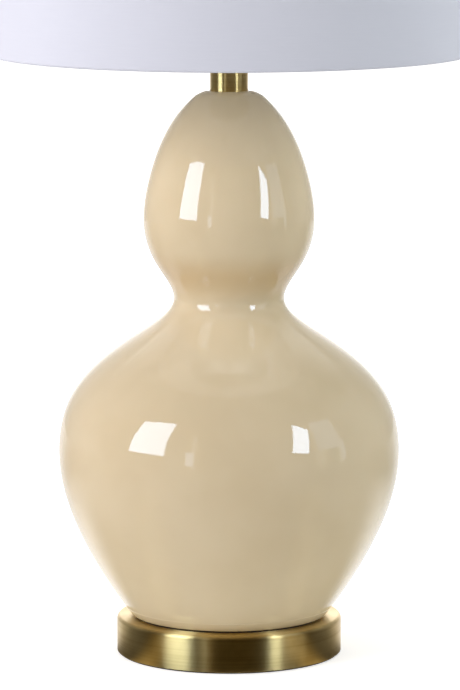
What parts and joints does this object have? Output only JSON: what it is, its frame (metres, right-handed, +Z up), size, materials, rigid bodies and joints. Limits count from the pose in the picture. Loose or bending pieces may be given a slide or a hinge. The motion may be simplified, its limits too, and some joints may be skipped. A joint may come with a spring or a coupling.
{
  "type": "table lamp",
  "caption": "Table lamp with a glazed double gourd body on a round brass plinth, a brass neck, a harp and a white drum shade.",
  "frame": {"origin": "on the surface that the lamp stands on, under its own axis", "axes": "+Z up along the lamp's axis, -Y towards the switch knob and the viewer, the harp lies in the X-Z plane"},
  "size_m": [0.4062, 0.406, 0.789],
  "materials": {
    "aged_brass": "brushed and aged, lacquered",
    "cast_iron": "rough cast, oiled",
    "brown_felt": "pressed felt",
    "black_bushing": "moulded",
    "zinc_steel": "zinc plated",
    "rubber_gasket": "dark brown sheet",
    "locator_plastic": "moulded, natural",
    "cream_glaze": "high gloss glaze",
    "socket_brass": "drawn and polished",
    "insulating_paper": "fibre paper",
    "black_phenolic": "moulded phenolic",
    "bare_aluminium": "drawn, bare",
    "black_knob": "moulded, polished",
    "white_fabric": "fine white cotton",
    "shade_backing": "smooth white sheet",
    "white_wire": "white enamel",
    "opal_glass": "opal, smooth",
    "black_glass": "fused black glass",
    "solder": "dull solder"
  },
  "bodies": {
    "lamp": {"base_shell": "aged_brass", "base_weight": "cast_iron", "felt_pad": "brown_felt", "cord_bushing": "black_bushing", "clamp_washer": "zinc_steel", "lock_washer": "zinc_steel", "clamp_nut": "zinc_steel", "foot_gasket": "rubber_gasket", "foot_locator": "locator_plastic", "gourd_lower": "cream_glaze", "gourd_upper": "cream_glaze", "crown_locator": "locator_plastic", "neck_tube": "aged_brass", "neck_cap": "aged_brass", "lamp_pipe": "zinc_steel", "harp_saddle": "aged_brass", "saddle_nut": "zinc_steel", "socket_cap": "socket_brass", "set_screw": "zinc_steel", "socket_shell": "socket_brass", "socket_sleeve": "insulating_paper", "socket_block": "black_phenolic", "terminal_screws": "socket_brass", "screw_shell": "bare_aluminium", "centre_contact": "socket_brass"},
    "switch": {"switch_spindle": "zinc_steel", "switch_knob": "black_knob"},
    "harp": {"harp_wire": "aged_brass", "harp_stud": "aged_brass"},
    "ferrule_left": {"ferrule_left": "aged_brass"},
    "ferrule_right": {"ferrule_right": "aged_brass"},
    "shade": {"shade_fabric": "white_fabric", "shade_liner": "shade_backing", "bottom_ring": "white_wire", "top_ring": "white_wire", "spider_spokes": "white_wire", "spider_washer": "white_wire"},
    "finial_core": {"finial_insert": "zinc_steel"},
    "finial": {"finial_knob": "aged_brass"},
    "bulb_core": {"bulb_contact": "solder", "bulb_insulator": "black_glass"},
    "bulb": {"bulb_glass": "opal_glass", "bulb_cap": "bare_aluminium"}
  },
  "joints": [
    {"name": "switch_turn", "type": "hinge", "parent": "lamp", "child": "switch", "pos_m": [0, 0, 0.547], "axis": [0, -1, 0], "continuous": true},
    {"name": "harp_lift", "type": "slide", "parent": "lamp", "child": "harp", "axis": [0, 0, 1], "range_m": [0, 0.03]},
    {"name": "ferrule_left_slide", "type": "slide", "parent": "harp", "child": "ferrule_left", "axis": [0, 0, 1], "range_m": [0, 0.014]},
    {"name": "ferrule_right_slide", "type": "slide", "parent": "harp", "child": "ferrule_right", "axis": [0, 0, 1], "range_m": [0, 0.014]},
    {"name": "shade_turn", "type": "hinge", "parent": "harp", "child": "shade", "pos_m": [0, 0, 0.756], "axis": [0, 0, 1], "continuous": true},
    {"name": "finial_rise", "type": "slide", "parent": "harp", "child": "finial_core", "axis": [0, 0, 1], "range_m": [0, 0.00941]},
    {"name": "finial_turn", "type": "hinge", "parent": "finial_core", "child": "finial", "pos_m": [0, 0, 0.7575], "axis": [0, 0, 1], "range_deg": [0, 3600]},
    {"name": "bulb_rise", "type": "slide", "parent": "lamp", "child": "bulb_core", "axis": [0, 0, 1], "range_m": [0, 0.01814]},
    {"name": "bulb_turn", "type": "hinge", "parent": "bulb_core", "child": "bulb", "pos_m": [0, 0, 0.5553], "axis": [0, 0, 1], "range_deg": [0, 1800]}
  ],
  "couplings": [
    {"joint": "finial_rise", "follows": "finial_turn", "m_per_rad": 0.00014972},
    {"joint": "bulb_rise", "follows": "bulb_turn", "m_per_rad": 0.0005775}
  ]
}
